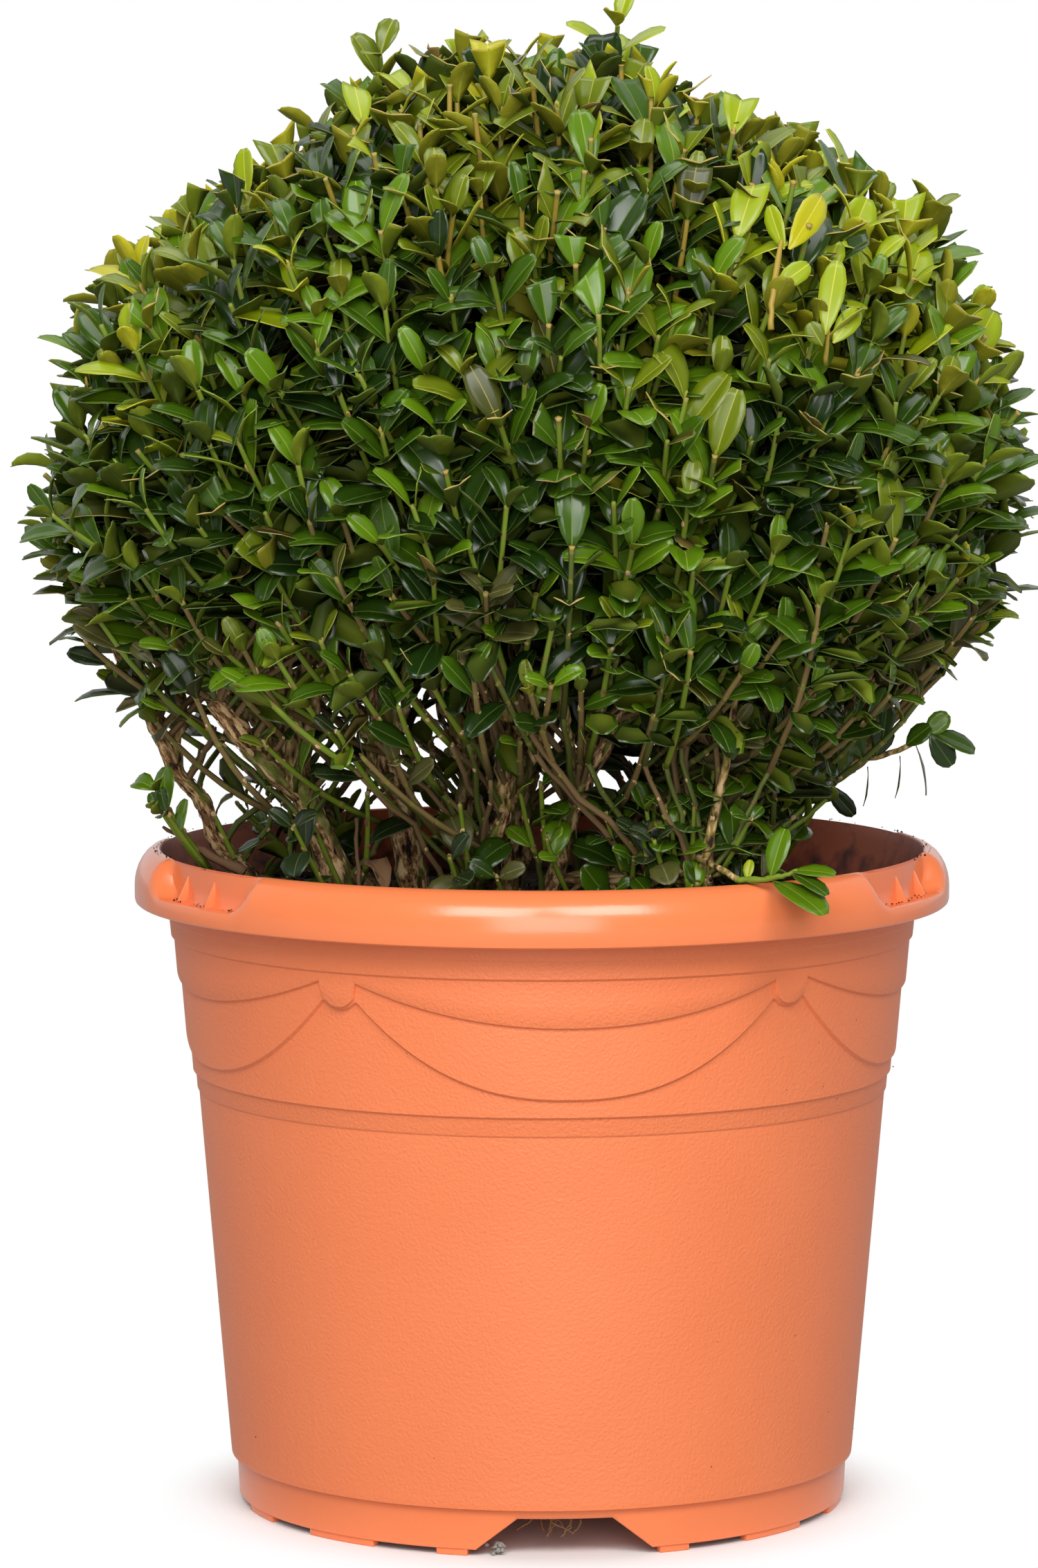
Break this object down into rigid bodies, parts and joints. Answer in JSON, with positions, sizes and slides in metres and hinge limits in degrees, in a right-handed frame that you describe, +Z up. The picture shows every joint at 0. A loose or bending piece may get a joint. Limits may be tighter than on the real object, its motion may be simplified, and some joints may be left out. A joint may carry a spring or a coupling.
{
  "type": "box topiary ball",
  "caption": "Clipped box ball on many woody stems, in a terracotta-coloured moulded plastic nursery pot with a swag relief.",
  "frame": {"origin": "on the floor under the middle of the pot, which is also the bottom centre of the whole part's box", "axes": "+Z up, -Y to the front drain notch, +X to the right as seen from the front"},
  "size_m": [0.3826, 0.3636, 0.565],
  "materials": {
    "pot_plastic": "terracotta-coloured polypropylene, injection moulded, leather grain on the wall and satin on the rim",
    "potting_soil": "dark crumbly peat compost",
    "bark": "thin brown bark with pale flakes and a green tinge",
    "foliage": "small glossy dark green evergreen leaves"
  },
  "bodies": {
    "root": {"pot_wall": "pot_plastic", "pot_rim": "pot_plastic", "soil": "potting_soil", "stem_far_left": "bark", "stem_left": "bark", "stem_front_left": "bark", "stem_middle": "bark", "stem_front": "bark", "stem_centre": "bark", "stem_front_right": "bark", "stem_right": "bark", "stem_inner_right": "bark", "stem_right_front": "bark", "stem_back_left": "bark", "stem_back": "bark", "stem_back_right": "bark", "stem_far_right": "bark", "bough_left": "bark", "bough_right": "bark", "bough_low_front": "bark", "foliage_crown": "foliage", "foliage_low_left": "foliage", "foliage_low_front_left": "foliage", "foliage_low_front": "foliage", "foliage_low_front_right": "foliage", "foliage_low_right": "foliage", "foliage_low_back_right": "foliage", "foliage_low_back": "foliage", "foliage_low_back_left": "foliage", "spray_left_tip": "foliage", "spray_right_tip": "foliage", "spray_top_tip": "foliage", "spray_top_left_tip": "foliage"}
  },
  "joints": []
}
